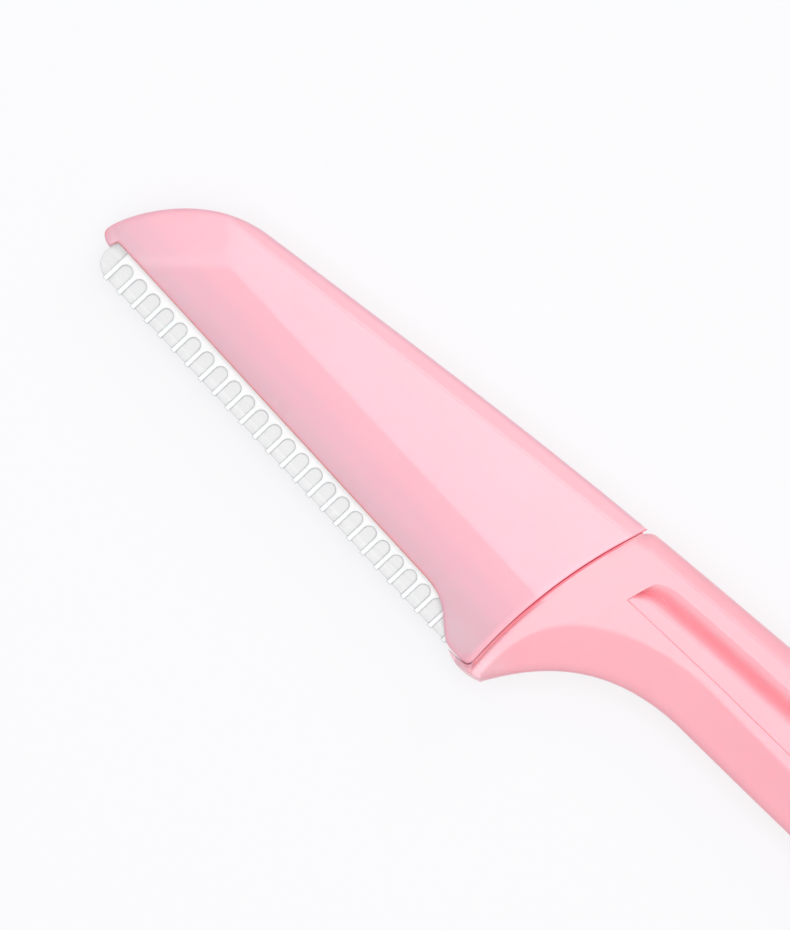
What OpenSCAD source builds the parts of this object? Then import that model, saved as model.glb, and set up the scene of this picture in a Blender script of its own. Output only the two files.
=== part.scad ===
// Eyebrow razor: a long handle whose tongue carries a head made of two covers,
// a steel blade and a fine white guard comb. Millimetres.
// The plan is drawn with X along the handle towards its tail, Y towards the spine, and Z out
// of the broad face. Its own zero is the heel end of the cutting edge, in the middle plane.

/* [Overall] */
// Length from the nose of the head to the tail of the handle
overall_length = 148; // [136:1:165]
// Thickness of the head and of the handle over their flats
thickness = 5.6; // [5.2:0.1:6.4]

/* [Head outline] */
// Length of the cutting edge that shows, from the heel lobe to the blade's tip
edge_length = 40.5; // [38:0.25:44]
// Angle between the cutting edge and the handle's axis, in degrees
edge_tilt = 5; // [3:0.25:6]
// Height of the cover's rim over the cutting edge, at the tip
rim_height_tip = 2.6; // [2.4:0.05:3]
// Height of the cover's rim over the cutting edge, at the heel
rim_height_heel = 2.35; // [2.2:0.05:2.7]
// Height of the spine over the heel, at the seam
spine_height = 17.08; // [16.8:0.02:17.6]
// Fall of the spine at the seam, in degrees
spine_fall = 2; // [1:0.5:3]
// Pull of both ends on the spine's shallow curve
spine_pull = 12; // [8:1:14]
// How far the nose runs past the blade's tip
nose_overhang = 0.9; // [0.7:0.05:1.3]
// Length over which the spine rounds down to the nose
nose_sweep = 9.75; // [9:0.25:11]
// Height of the spine where the nose's curve starts
nose_start_height = 14.38; // [14.1:0.02:14.6]
// Fall of the spine there, in degrees
nose_start_fall = 5; // [4:0.5:7]
// Pull of the spine on the nose's curve
nose_top_pull = 6.25; // [5:0.25:7.5]
// Pull of the front on the nose's curve
nose_front_pull = 1.25; // [0.75:0.25:2]
// Height of the foremost point over the rim
nose_rise = 0.15; // [0:0.05:0.4]
// How far the tip of the nose hangs below the rim, in front of the blade
hook_drop = 0.7; // [0.4:0.05:0.9]
// Width of that hanging tip
hook_w = 1.05; // [0.9:0.05:1.2]
// Distance along the edge from the blade's tip to the start of the rim
rim_setback = 0.25; // [0.2:0.05:0.4]
// Roundness of that hanging tip
hook_pull = 0.45; // [0.3:0.05:0.5]

/* [Head facets] */
// Half thickness of the covers at the bottom of the heel lobe
lobe_half = 0.9; // [0.85:0.05:1.2]
// Height over the cutting edge where the blade-side facet meets the flat
facet_height = 7.9; // [7.2:0.1:8.4]
// Width of the bevel along the spine, at the seam
spine_bevel = 1.2; // [1:0.05:1.5]
// Tilt of that bevel's line, in degrees
bevel_tilt = 3.8; // [3.4:0.1:4.2]
// Steepness of that bevel, in degrees
spine_bevel_angle = 45; // [38:1:50]
// Distance along the edge from the blade's tip to the start of the nose facet
crease_setback = 7.4; // [6.5:0.1:8.5]
// Angle between the crease of the nose facet and the handle's axis, in degrees
crease_angle = 57; // [50:1:64]
// Fall of the nose facet, in degrees
nose_fall = 10; // [7:0.5:12]

/* [Heel lobe] */
// Length of the lobe's curve in front of the heel end of the edge
lobe_run = 4.75; // [4:0.25:5.5]
// Where the lobe's curve reaches its bottom, behind that end
lobe_foot = 0.75; // [0.5:0.05:1]
// Pull of the rim on the lobe's curve
lobe_rim_pull = 3.25; // [2.5:0.25:3.5]
// Pull of the foot on the lobe's curve
lobe_foot_pull = 1.75; // [1.2:0.05:2]
// How far the lobe's foot reaches below the edge's line
lobe_drop = 0.065; // [0.03:0.005:0.1]
// Length of the lobe's foot, up to its rear corner
foot_run = 2; // [1.6:0.05:2.2]
// Height of the rear corner's rounding
foot_corner = 0.3; // [0.2:0.05:0.5]

/* [Seam] */
// Radius of the curved seam between the head and the handle
seam_radius = 41.7; // [38:0.5:48]
// How far the seam's foremost point stands behind the heel end of the edge
seam_setback = 2.6; // [2.5:0.05:3]
// Height of the seam's foremost point over the heel end of the edge
seam_height = 1; // [0:0.25:3]
// Gap between the head and the handle
seam_gap = 0.28; // [0.2:0.02:0.4]

/* [Handle outline] */
// Height of the handle's axis over the heel end of the edge
axis_height = 12.25; // [12:0.05:12.5]
// Width of the handle at its belly
belly_w = 12.3; // [11.6:0.1:13.2]
// Distance of the belly behind the seam
belly_run = 67.4; // [55:1:75]
// Height of the handle's upper edge at its shoulder
shoulder_height = 17.2; // [17:0.05:17.5]
// Radius of the shoulder's corner at the seam
shoulder_r = 0.95; // [0.6:0.05:1.4]
// Height of the handle's lower edge at the neck
neck_height = 7.27; // [6.8:0.05:7.6]
// Distance of the neck behind the seam
neck_run = 15.4; // [14:0.2:18]
// Pull of the neck on the curve of the finger scoop
neck_pull = 7.5; // [6:0.25:8.5]
// Fall of the lower edge at the neck, in degrees
neck_fall = 1.2; // [0.5:0.1:2]
// Angle at which the scoop leaves the heel's corner, in degrees
scoop_angle = 58; // [52:1:64]
// Pull of the heel's corner on the curve of the scoop
scoop_pull = 5; // [4:0.25:6]
// Distance of the heel's corner behind the seam
heel_run = 1.47; // [1.2:0.05:1.8]
// Depth of the heel's corner below the cutting edge's end
heel_corner_drop = 0.49; // [0.4:0.01:0.6]

/* [Heel lip] */
// How far the lip reaches forward of the seam, below the lobe
lip_reach = 2; // [1.6:0.05:2.1]
// Depth of the lip's upper face below the cutting edge's end
lip_top_drop = 0.33; // [0.3:0.01:0.36]
// Depth of the lip's lowest point below the cutting edge's end
lip_low_drop = 0.78; // [0.7:0.01:0.9]
// Thickness of the lip
lip_t = 1.2; // [0.9:0.1:1.5]

/* [Handle section] */
// Width of the bevel along the lower edge
low_bevel = 3.7; // [3.2:0.1:4]
// Width of that bevel at the heel, measured across the handle
heel_bevel = 5.2; // [4.6:0.1:5.6]
// Width of the bevel along the upper edge
top_bevel = 1.2; // [0.9:0.1:1.5]
// Half thickness of the lower edge behind the neck
low_half = 1.2; // [1.1:0.05:1.5]
// Half thickness of the lower edge at the heel
heel_half = 1.8; // [1.6:0.05:2]
// Length over which the lower bevel narrows in front of the heel's corner
heel_fan = 1.35; // [1.2:0.05:1.6]
// Half thickness of the upper edge
top_half = 1.6; // [1.4:0.05:1.8]
// Softening of both edges
edge_soft = 0.35; // [0.2:0.05:0.45]

/* [Grip recess] */
// Distance from the seam back to the recess's front wall
recess_setback = 4; // [3.5:0.1:6]
// Length of the recess
recess_length = 86; // [60:1:90]
// Flat band between the lower bevel and the recess
lip_band = 0.85; // [0.6:0.05:1.1]
// Flat band between the upper bevel and the recess
rim_band = 0.8; // [0.6:0.05:1]
// Depth of the step at the recess's lower lip
lip_depth = 0.2; // [0.15:0.05:0.3]
// Depth of the recess's valley
valley_depth = 1.2; // [0.9:0.05:1.4]
// Width of the wall between the valley and the upper rim
wall_w = 1.6; // [1.4:0.1:1.9]
// How far the wall bulges into the recess at its middle
wall_bulge = 0.15; // [0.05:0.05:0.25]

/* [Tongue] */
// Length of the tongue in front of the seam
tongue_length = 17.6; // [14:0.2:18]
// Width of the tongue
tongue_w = 5; // [4.4:0.1:5.2]
// Thickness of the tongue
tongue_t = 2; // [1.6:0.1:2.2]
// Height of the tongue's middle over the heel end of the edge
tongue_height = 11.4; // [11.2:0.05:11.6]
// Clearance around the tongue in its socket
tongue_fit = 0.06; // [0.03:0.01:0.1]
// Room in front of the tongue's end
tongue_room = 0.5; // [0.3:0.1:1]
// Thickness of the rib that closes the seam's gap from inside
rib_t = 2; // [1.4:0.1:2.4]

/* [Blade] */
// Thickness of the steel
blade_t = 0.25; // [0.2:0.01:0.3]
// Width of the blade from its edge to its hidden back
blade_w = 6.5; // [6.2:0.1:6.7]
// Width of the ground bevel
grind_w = 0.7; // [0.5:0.05:0.9]
// Thickness left at the cutting edge
keen_t = 0.02; // [0.01:0.01:0.04]
// Radius of the blade's rounded tip
blade_tip_r = 1.5; // [1.2:0.1:1.8]
// Width of the blade at its tip, where the nose leaves no room for more
blade_tip_w = 3.4; // [3:0.1:3.6]
// Distance from the tip to the full width
blade_step = 6; // [5.5:0.1:8]
// Length of the blade behind the heel end of the edge
blade_heel = 1; // [0.8:0.05:1.2]
// Clearance around the blade
blade_fit = 0.02; // [0.01:0.01:0.03]

/* [Guard comb] */
// Number of the comb's bars
bar_count = 26; // [20:1:26]
// Spacing of the bars
bar_pitch = 1.55; // [1.5:0.01:1.6]
// Width of a bar
bar_w = 0.43; // [0.35:0.01:0.5]
// Distance from the blade's tip to the comb's first bar
comb_setback = 1.33; // [1.2:0.01:1.6]
// Thickness of the comb
comb_t = 1; // [0.9:0.02:1.1]
// Thickness of the bars at their tips
bar_tip_t = 0.56; // [0.5:0.02:0.7]
// How far the bars reach past the cutting edge
bar_tip = 0.14; // [0.1:0.01:0.2]
// Height of the windows between the bars
window_height = 2; // [1.8:0.05:2.1]
// Height of the comb's hidden back over the cutting edge
comb_height = 4.3; // [4:0.1:4.4]
// Length of the comb's back behind the heel end of the edge
comb_heel = 1; // [0.8:0.05:1.1]
// Clearance around the comb in the covers
comb_fit = 0.02; // [0.01:0.01:0.05]

/* [Pins] */
// Diameter of the pins that join the covers
pin_d = 1.5; // [1.2:0.1:1.6]
// Clearance of the pins in their sockets
pin_fit = 0.02; // [0.01:0.01:0.04]
// Clearance of the pins in the blade
pin_room = 0.05; // [0.03:0.01:0.08]
// Length of the pins above the middle plane
pin_length = 1.2; // [1:0.05:1.3]
// Height of the blade's pins over the cutting edge
blade_pin_height = 5.2; // [5.15:0.05:5.4]
// Height of the middle pin over the cutting edge
body_pin_height = 10.2; // [9.8:0.1:10.8]
// Height of the nose pin over the cutting edge
nose_pin_height = 6.8; // [6.4:0.1:7.2]

/* [Hidden] */

// Overrun of the cuts, and of the slab that makes the handle's flats
over = 0.4;
// Finest steps of the curves and of the rings of the handle
curve_steps = 20;
ring_steps = 9;
// Shape of the tail: a higher power keeps the handle wide for longer
tail_power = 3;
// Largest shares of the handle's width that its two bevels take at the tail
low_bevel_share = 0.6;
top_bevel_share = 0.28;
// Least share of the heel's bevel, at the seam
heel_bevel_share = 0.2;
// Half width of the blunt end of the tail
tail_half = 0.45;
// Places of the pins, as shares of the edge's length from its heel end
blade_pin_shares = [0.13, 0.45, 0.76];
body_pin_share = 0.57;
nose_pin_share = 0.92;

half = thickness / 2;
nose_x = -(edge_length * cos(edge_tilt) + nose_overhang);
tail_x = nose_x + overall_length;
neck_x = seam_setback + neck_run;
belly_x = seam_setback + belly_run;
heel_x = seam_setback + heel_run;
belly_low = axis_height - belly_w / 2;
belly_top = axis_height + belly_w / 2;
handle_arc = seam_radius - seam_gap;
pin_room_d = pin_d + 2 * pin_room;
bar_first = -(edge_length - comb_setback - bar_w / 2);
bar_last = bar_first + (bar_count - 1) * bar_pitch;
window_w = bar_pitch - bar_w;
facet_angle = atan((half - lobe_half) / (facet_height + lobe_drop));

// Curves and places of the plan

// A point from its place along the cutting edge and its height over it
function strip(along, above) =
    [along * cos(edge_tilt) + above * sin(edge_tilt),
     above * cos(edge_tilt) - along * sin(edge_tilt)];

function bezier(a, b, c, d) =
    [for (i = [0 : curve_steps]) let (t = i / curve_steps, u = 1 - t)
        a * u * u * u + b * 3 * u * u * t + c * 3 * u * t * t + d * t * t * t];

function ease(t) = let (s = min(1, max(0, t))) s * (2 - s);

function mix(a, b, share) = a + (b - a) * share;

// Place of an arc that is concentric with the seam, at one height
function arc_x(radius, y) =
    seam_setback + seam_radius - sqrt(radius * radius - pow(y - seam_height, 2));

function heading(angle) = [cos(angle), sin(angle)];

// The outline runs on behind the seam, which then cuts it
outline_back = arc_x(seam_radius, spine_height) + over;
spine_end = [outline_back, spine_height];
nose_start = [nose_x + nose_sweep, nose_start_height];
nose_tip = [nose_x, strip(-edge_length, rim_height_tip)[1] + nose_rise];
hook_tip = [nose_x + hook_w, nose_tip[1] - nose_rise - hook_drop];
foot_start = strip(lobe_foot, -lobe_drop);
foot_end = strip(foot_run, -lobe_drop);
foot_top = [arc_x(seam_radius, foot_corner), foot_corner];

cover_outline = concat(
    [[outline_back, foot_corner]],
    bezier(spine_end, spine_end - spine_pull * heading(spine_fall),
        nose_start + spine_pull * heading(nose_start_fall), nose_start),
    bezier(nose_start, nose_start - nose_top_pull * heading(nose_start_fall),
        nose_tip + [0, nose_front_pull], nose_tip),
    bezier(nose_tip, nose_tip - [0, hook_pull], hook_tip - [hook_pull, 0], hook_tip),
    [strip(rim_setback - edge_length, rim_height_tip)],
    bezier(strip(-lobe_run, rim_height_heel),
        strip(lobe_rim_pull - lobe_run, rim_height_heel),
        strip(lobe_foot - lobe_foot_pull, -lobe_drop), foot_start),
    bezier(foot_end, mix(foot_end, [foot_top[0], foot_end[1]], low_bevel_share),
        mix(foot_top, [foot_top[0], foot_end[1]], low_bevel_share), foot_top));

// Outline of the handle: its lower and upper edge at each place along it

function tail_half_width(x) =
    max(tail_half, belly_w / 2 * sqrt(max(0, 1 - pow((x - belly_x) / (tail_x - belly_x), tail_power))));

function low_y(x) = x > belly_x ? axis_height - tail_half_width(x)
    : mix(neck_height, belly_low, ease((x - neck_x) / (belly_x - neck_x)));

shoulder_x = arc_x(handle_arc, shoulder_height);

function top_y(x) = x > belly_x ? axis_height + tail_half_width(x)
    : mix(shoulder_height, belly_top, ease((x - shoulder_x) / (belly_x - shoulder_x)));

heel_corner = [heel_x, -heel_corner_drop];
// A cubic curve's middle lies three quarters of the way to its two pulls
lip_pull = -(lip_low_drop * 8 - lip_top_drop - heel_corner_drop) / 6;
lip_curve = bezier([seam_setback - lip_reach, -lip_top_drop],
    [seam_setback - lip_reach / 2, lip_pull], [seam_setback + heel_run / 7, lip_pull], heel_corner);
scoop_curve = bezier(heel_corner, heel_corner + scoop_pull * heading(scoop_angle),
    [neck_x, neck_height] - neck_pull * heading(-neck_fall), [neck_x, neck_height]);

// Places of the rings, each with the lower edge's height there
ring_places = concat(
    [for (i = [curve_steps / 2 : 2 : curve_steps - 2]) lip_curve[i]],
    scoop_curve,
    [for (i = [1 : ring_steps]) let (x = mix(neck_x, belly_x, i / ring_steps)) [x, low_y(x)]],
    [for (i = [1 : ring_steps]) let (x = mix(belly_x, tail_x, sin(90 * i / ring_steps))) [x, low_y(x)]]);

// Section of the handle

function scoop_share(x) = ease((x - heel_x) / (neck_x - heel_x));

function bevel_at(x) = mix(heel_bevel, low_bevel, scoop_share(x))
    * max(heel_bevel_share, 1 - pow(max(0, heel_x - x) / heel_fan, 2));

function low_half_at(x) = mix(heel_half, low_half, scoop_share(x));

// Half of a ring, from the lower to the upper edge. Its flat stands a little proud, and the
// slab then cuts it back to the true flat.
function ring_half(x, low, top) =
    let (width = top - low, soft = min(edge_soft, width / 5), edge_half = low_half_at(x),
        low_slope = (half - edge_half) / bevel_at(x),
        top_slope = (half - top_half) / top_bevel,
        low_run = min(bevel_at(x) + over / low_slope, low_bevel_share * width),
        top_run = min(top_bevel + over / top_slope, top_bevel_share * width))
    [[low, edge_half - soft],
     [low + soft, edge_half + soft * low_slope],
     [low + low_run, edge_half + low_run * low_slope],
     [top - top_run, top_half + top_run * top_slope],
     [top - soft, top_half + soft * top_slope],
     [top, top_half - soft]];

function both_halves(points) =
    concat(points, [for (i = [len(points) - 1 : -1 : 0]) [points[i][0], -points[i][1]]]);

function ring(place) =
    [for (p = both_halves(ring_half(place[0], place[1], top_y(place[0])))) [place[0], p[0], p[1]]];

// Section of the recess: step, floor, valley, wall and rim

function lip_y(x) = x > neck_x ? low_y(x) + low_bevel + lip_band
    : neck_height + low_bevel + lip_band + (neck_x - x) * tan(neck_fall);

function recess_ring(x) =
    let (rim = top_y(x) - top_bevel - rim_band, valley = rim - wall_w, middle = rim - wall_w / 2)
    [[x, rim, half + over], [x, rim, half],
     [x, middle, half - valley_depth / 2 + wall_bulge],
     [x, valley, half - valley_depth],
     [x, lip_y(x), half - lip_depth], [x, lip_y(x), half + over]];

// Shared shapes

// Skin over rings with the same number of points
module loft(rings) {
    n = len(rings[0]);
    last = len(rings) - 1;
    polyhedron(
        points = [for (r = rings) each r],
        faces = concat(
            [for (i = [0 : last - 1], j = [0 : n - 1]) let (k = (j + 1) % n)
                [i * n + j, i * n + k, (i + 1) * n + j]],
            [for (i = [0 : last - 1], j = [0 : n - 1]) let (k = (j + 1) % n)
                [i * n + k, (i + 1) * n + k, (i + 1) * n + j]],
            [for (j = [1 : n - 2]) [0, j + 1, j]],
            [for (j = [1 : n - 2]) [last * n, last * n + j, last * n + j + 1]]));
}

// Moves the plan onto the row's origin, with the back flats at zero
module placed() {
    translate([-(nose_x + tail_x) / 2, (lip_low_drop - belly_top) / 2, half]) children();
}

// Turns a shape that is drawn along the cutting edge
module along_edge() {
    rotate([0, 0, -edge_tilt]) children();
}

// A profile of height and thickness, run along the cutting edge
module edge_profile(from, to, points) {
    along_edge() translate([from, 0, 0]) rotate([90, 0, 90])
        linear_extrude(to - from) polygon(points);
}

module arc_disc(radius) {
    translate([seam_setback + seam_radius, seam_height, 0])
        cylinder(r = radius, h = 2 * thickness, center = true, $fn = 360);
}

// Everything in front of an arc that is concentric with the seam
module before_arc(radius) {
    depth = arc_x(radius, belly_top) - seam_setback + seam_gap;
    difference() {
        translate([seam_setback - belly_w, -belly_w, -thickness / 2 - over])
            cube([belly_w + depth, belly_top + 2 * belly_w, thickness + 2 * over]);
        arc_disc(radius);
    }
}

// Covers

// A large block whose one face is a facet: it is hinged on a line at the flat's height
module facet_cut(run, angle) {
    translate([-overall_length / 2, 0, half]) rotate([angle, 0, 0])
        translate([0, -run, 0]) cube([overall_length, run + over, thickness]);
}

module cover_facets() {
    along_edge() translate([0, facet_height, 0]) facet_cut(2 * facet_height, facet_angle);
    translate([arc_x(seam_radius, spine_height), spine_height - spine_bevel / cos(bevel_tilt), 0])
        rotate([0, 0, 180 + bevel_tilt]) facet_cut(2 * facet_height, spine_bevel_angle);
    translate(strip(crease_setback - edge_length, facet_height))
        rotate([0, 0, -crease_angle]) facet_cut(spine_height, nose_fall);
}

module tongue_shape(gap, room) {
    root = arc_x(handle_arc, tongue_height + tongue_w / 2) + over;
    tip_r = tongue_w / 2;
    tip_x = seam_setback - tongue_length + tip_r;
    side = tongue_w + 2 * gap;
    translate([tip_x - room, tongue_height - side / 2, -tongue_t / 2 - gap])
        cube([root + room - tip_x, side, tongue_t + 2 * gap]);
    translate([tip_x - room, tongue_height, 0])
        cylinder(d = side, h = tongue_t + 2 * gap, center = true, $fn = 96);
}

// Room for the comb's bars and back, and for the blade
module blade_room() {
    comb_from = bar_first - bar_w / 2 - comb_fit;
    comb_deep = comb_t + 2 * comb_fit;
    blade_deep = blade_t + 2 * blade_fit;
    along_edge() {
        translate([comb_from, -bar_tip - over, -comb_deep / 2])
            cube([bar_last + bar_w / 2 + comb_fit - comb_from,
                comb_height + comb_fit + bar_tip + over, comb_deep]);
        translate([comb_from, window_height - comb_fit, -comb_deep / 2])
            cube([comb_heel + comb_fit - comb_from,
                comb_height - window_height + 2 * comb_fit, comb_deep]);
        translate([-edge_length - blade_fit, -blade_fit, -blade_deep / 2])
            cube([edge_length + blade_heel + 2 * blade_fit, blade_tip_w + 2 * blade_fit, blade_deep]);
        translate([blade_step - edge_length - blade_fit, 0, -blade_deep / 2])
            cube([edge_length - blade_step + blade_heel + 2 * blade_fit,
                blade_w + blade_fit, blade_deep]);
    }
}

module at_blade_pins() {
    for (share = blade_pin_shares)
        translate(strip(-share * edge_length, blade_pin_height)) children();
}

module at_pins() {
    at_blade_pins() children();
    translate(strip(-body_pin_share * edge_length, body_pin_height)) children();
    translate(strip(-nose_pin_share * edge_length, nose_pin_height)) children();
}

// The half of the head above the middle plane, before its pins
module cover_shell() {
    difference() {
        linear_extrude(half) polygon(cover_outline);
        cover_facets();
        arc_disc(seam_radius);
        blade_room();
        tongue_shape(tongue_fit, tongue_room);
    }
}

module front_cover() {
    color([0.99, 0.75, 0.80]) placed() difference() {
        cover_shell();
        at_pins() cylinder(d = pin_d + 2 * pin_fit, h = 2 * pin_length + 2 * pin_fit,
            center = true, $fn = 48);
    }
}

module back_cover() {
    color([0.99, 0.75, 0.80]) placed() {
        mirror([0, 0, 1]) cover_shell();
        at_pins() translate([0, 0, -pin_length])
            cylinder(d = pin_d, h = 2 * pin_length, $fn = 48);
    }
}

// Blade and comb

module blade_plan() {
    tip = -edge_length;
    translate([tip + blade_tip_r, blade_tip_r]) circle(r = blade_tip_r, $fn = 64);
    translate([tip + blade_tip_r, 0])
        square([edge_length - blade_tip_r + blade_heel, blade_tip_w]);
    translate([tip, blade_tip_r]) square([edge_length, blade_tip_w - blade_tip_r]);
    translate([tip + blade_step, 0]) square([edge_length - blade_step + blade_heel, blade_w]);
}

module blade() {
    color([0.84, 0.85, 0.86]) placed() difference() {
        intersection() {
            edge_profile(-edge_length - over, blade_heel + over,
                [[0, -keen_t / 2], [grind_w, -blade_t / 2], [blade_w + over, -blade_t / 2],
                 [blade_w + over, blade_t / 2], [grind_w, blade_t / 2], [0, keen_t / 2]]);
            along_edge() linear_extrude(thickness, center = true) blade_plan();
        }
        at_blade_pins() cylinder(d = pin_room_d, h = thickness, center = true, $fn = 48);
    }
}

module comb_windows() {
    for (i = [0 : bar_count - 2])
        translate([bar_first + (i + 1 / 2) * bar_pitch, window_height - window_w / 2]) {
            circle(d = window_w, $fn = 32);
            translate([-window_w / 2, -window_height - bar_tip - over])
                square([window_w, window_height + bar_tip + over]);
        }
    // Past the last bar only the hidden back runs on
    translate([bar_last + bar_w / 2, -bar_tip - over])
        square([comb_heel + over, window_height + bar_tip + over]);
}

module guard_comb() {
    from = bar_first - bar_w / 2;
    slit = blade_t + 2 * blade_fit;
    color([0.98, 0.98, 0.98]) placed() difference() {
        edge_profile(from, comb_heel,
            [[-bar_tip, -bar_tip_t / 2], [window_height, -comb_t / 2], [comb_height, -comb_t / 2],
             [comb_height, comb_t / 2], [window_height, comb_t / 2], [-bar_tip, bar_tip_t / 2]]);
        along_edge() linear_extrude(thickness, center = true) comb_windows();
        along_edge() translate([from - over, -blade_fit, -slit / 2])
            cube([comb_heel - from + 2 * over, comb_height + blade_fit + over, slit]);
    }
}

// Handle

module shoulder_cut() {
    reach = handle_arc - shoulder_r;
    rise = shoulder_height - shoulder_r - seam_height;
    centre = [seam_setback + seam_radius - sqrt(reach * reach - rise * rise), seam_height + rise];
    outward = (centre - [seam_setback + seam_radius, seam_height]) / reach;
    far = 4 * shoulder_r;
    difference() {
        linear_extrude(2 * thickness, center = true)
            polygon([centre, centre + far * outward, centre + far * [-1, 1], centre + far * [0, 1]]);
        translate(centre) cylinder(r = shoulder_r, h = 3 * thickness, center = true, $fn = 64);
    }
}

module recess_cut() {
    from = seam_setback + recess_setback - wall_w;
    to = seam_setback + recess_setback + recess_length;
    difference() {
        loft([for (i = [0 : 2 * ring_steps]) recess_ring(mix(from, to, i / (2 * ring_steps)))]);
        before_arc(seam_radius - recess_setback);
    }
}

module handle_grip() {
    difference() {
        intersection() {
            loft([for (place = ring_places) ring(place)]);
            translate([seam_setback - belly_w, -belly_w, -half])
                cube([overall_length, belly_top + 2 * belly_w, thickness]);
        }
        before_arc(handle_arc);
        shoulder_cut();
        recess_cut();
        mirror([0, 0, 1]) recess_cut();
    }
}

// Runs along the seam and reaches almost to the head, so the gap shows plastic behind it
module seam_rib() {
    root_arc = handle_arc - over;
    foot = foot_corner + seam_gap;
    difference() {
        intersection() {
            arc_disc(seam_radius - tongue_fit);
            translate([0, foot, -rib_t / 2])
                cube([arc_x(root_arc, shoulder_height), shoulder_height - shoulder_r - foot, rib_t]);
        }
        arc_disc(root_arc);
    }
}

module heel_lip() {
    linear_extrude(lip_t, center = true)
        polygon(concat(lip_curve, [[heel_x, -lip_top_drop]]));
}

module handle() {
    color([0.99, 0.74, 0.77]) placed() {
        handle_grip();
        tongue_shape(0, 0);
        seam_rib();
        heel_lip();
    }
}

handle();
front_cover();
back_cover();
blade();
guard_comb();
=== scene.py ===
"""Looks of the eyebrow razor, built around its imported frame.

The shapes are drawn in plan, in millimetres, as the part's source draws them: X along the handle
to its tail, Y towards the spine, and zero at the heel end of the cutting edge, in the middle
plane. new_piece() moves them onto the frame, in metres.
"""

import math

import bmesh
import bpy
import numpy as np
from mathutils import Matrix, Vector
from mathutils.geometry import delaunay_2d_cdt
from mathutils.kdtree import KDTree


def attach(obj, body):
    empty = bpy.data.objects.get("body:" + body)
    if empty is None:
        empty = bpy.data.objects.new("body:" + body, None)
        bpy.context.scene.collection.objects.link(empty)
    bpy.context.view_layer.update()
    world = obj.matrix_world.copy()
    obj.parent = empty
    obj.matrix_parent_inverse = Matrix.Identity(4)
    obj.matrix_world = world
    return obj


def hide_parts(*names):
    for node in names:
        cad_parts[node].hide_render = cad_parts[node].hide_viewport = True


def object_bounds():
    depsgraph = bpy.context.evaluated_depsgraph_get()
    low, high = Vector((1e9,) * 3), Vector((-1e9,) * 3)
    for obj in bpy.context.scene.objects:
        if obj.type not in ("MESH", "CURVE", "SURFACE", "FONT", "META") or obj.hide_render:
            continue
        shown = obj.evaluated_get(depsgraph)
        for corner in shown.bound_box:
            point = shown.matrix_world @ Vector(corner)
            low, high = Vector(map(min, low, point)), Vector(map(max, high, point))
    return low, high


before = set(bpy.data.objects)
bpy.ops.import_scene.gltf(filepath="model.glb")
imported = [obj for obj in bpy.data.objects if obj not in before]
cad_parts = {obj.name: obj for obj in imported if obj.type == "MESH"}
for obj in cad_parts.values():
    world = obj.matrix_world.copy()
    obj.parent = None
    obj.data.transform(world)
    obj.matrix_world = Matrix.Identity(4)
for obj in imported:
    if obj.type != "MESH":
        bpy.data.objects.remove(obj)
cad_low, cad_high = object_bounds()

MM = 0.001

# Points of the meshes
SMOOTH_ANGLE = math.radians(40)
EDGE_REACH = 2
SLIVER_AREA = 2e-5
MERGE_REACH = 1e-6
TINY = 1e-12
DECIMALS = 6
INSET_STEPS = 6
INSET_SHARE = 0.96
CREASE_CLEARANCE = 0.035
CURVE_STEPS = 40
HOOK_STEPS = 12
CORNER_STEPS = 10
SCOOP_STEPS = 140
LOW_EDGE_STEPS = 160
TOP_EDGE_STEPS = 180
SHOULDER_STEPS = 14
TONGUE_STEPS = 40
ARC_STEPS = 60
RIB_TOP_STEPS = 20
RIB_LOW_STEPS = 40
SEAM_ROW_STEPS = 80
SEAM_ROW_TURNS = (0, 20, 40, 60, 75, 90)
RIB_ROW_SHARES = (-0.85, -0.65, -0.45, -0.25)
SPLIT_ROW_STEPS = 30
CHANNEL_ROW_STEPS = 160
BORDER_ROW_STEPS = 300
BORDER_ROW_SHARES = (0, 0.25, 0.5, 0.75, 1)
ARCH_STEPS = 16
TIP_STEPS = 24
COVER_LINE_STEP = 0.16
COVER_GRID = {"coarse": 1.6, "fine": 0.05, "tolerance": 0.002}
COVER_CLEARANCE = 0.04
HANDLE_LINE_STEP = 0.2
HANDLE_GRID = {"coarse": 1.6, "fine": 0.1, "tolerance": 0.003}
HANDLE_CLEARANCE = 0.05
FINE_TO = 50
CHANNEL_STEP = 0.07
CHANNEL_WIDTH = 2.4
CHANNEL_FROM = 12
CHANNEL_END_GAP = 0.2
SEAM_STEP = 0.02
COMB_LINE_STEP = 0.11
COMB_GRID = {"coarse": 0.4, "fine": 0.2, "tolerance": 0.002}
COMB_INSET_STEPS = 4
COMB_CLEARANCE = 0.03
BLADE_LINE_STEP = 0.3
BLADE_GRID_STEP = 0.8
BLADE_CLEARANCE = 0.1
SOCKET_LINE_STEP = 0.4
SOCKET_GRID_STEP = 1.2
SOCKET_CLEARANCE = 0.3
CUT_PAST = 1
CUT_GROOVE = 0.01

# Head outline
EDGE_LENGTH = 40.5
EDGE_TILT = math.radians(5)
RIM_TIP = 2.6
RIM_HEEL = 2.35
SPINE_HEIGHT = 17.08
SPINE_FALL = math.radians(2)
SPINE_PULL = 12
NOSE_OVERHANG = 0.9
NOSE_SWEEP = 9.75
NOSE_START_HEIGHT = 14.38
NOSE_START_FALL = math.radians(5)
NOSE_TOP_PULL = 6.25
NOSE_FRONT_PULL = 1.25
NOSE_RISE = 0.15
HOOK_DROP = 0.7
HOOK_WIDTH = 1.05
HOOK_PULL = 0.45
RIM_SETBACK = 0.25
LOBE_RUN = 4.75
LOBE_FOOT = 0.75
LOBE_RIM_PULL = 3.25
LOBE_FOOT_PULL = 1.75
LOBE_DROP = 0.065
FOOT_RUN = 2
FOOT_CORNER = 0.3
FOOT_CORNER_PULL = 0.6

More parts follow.
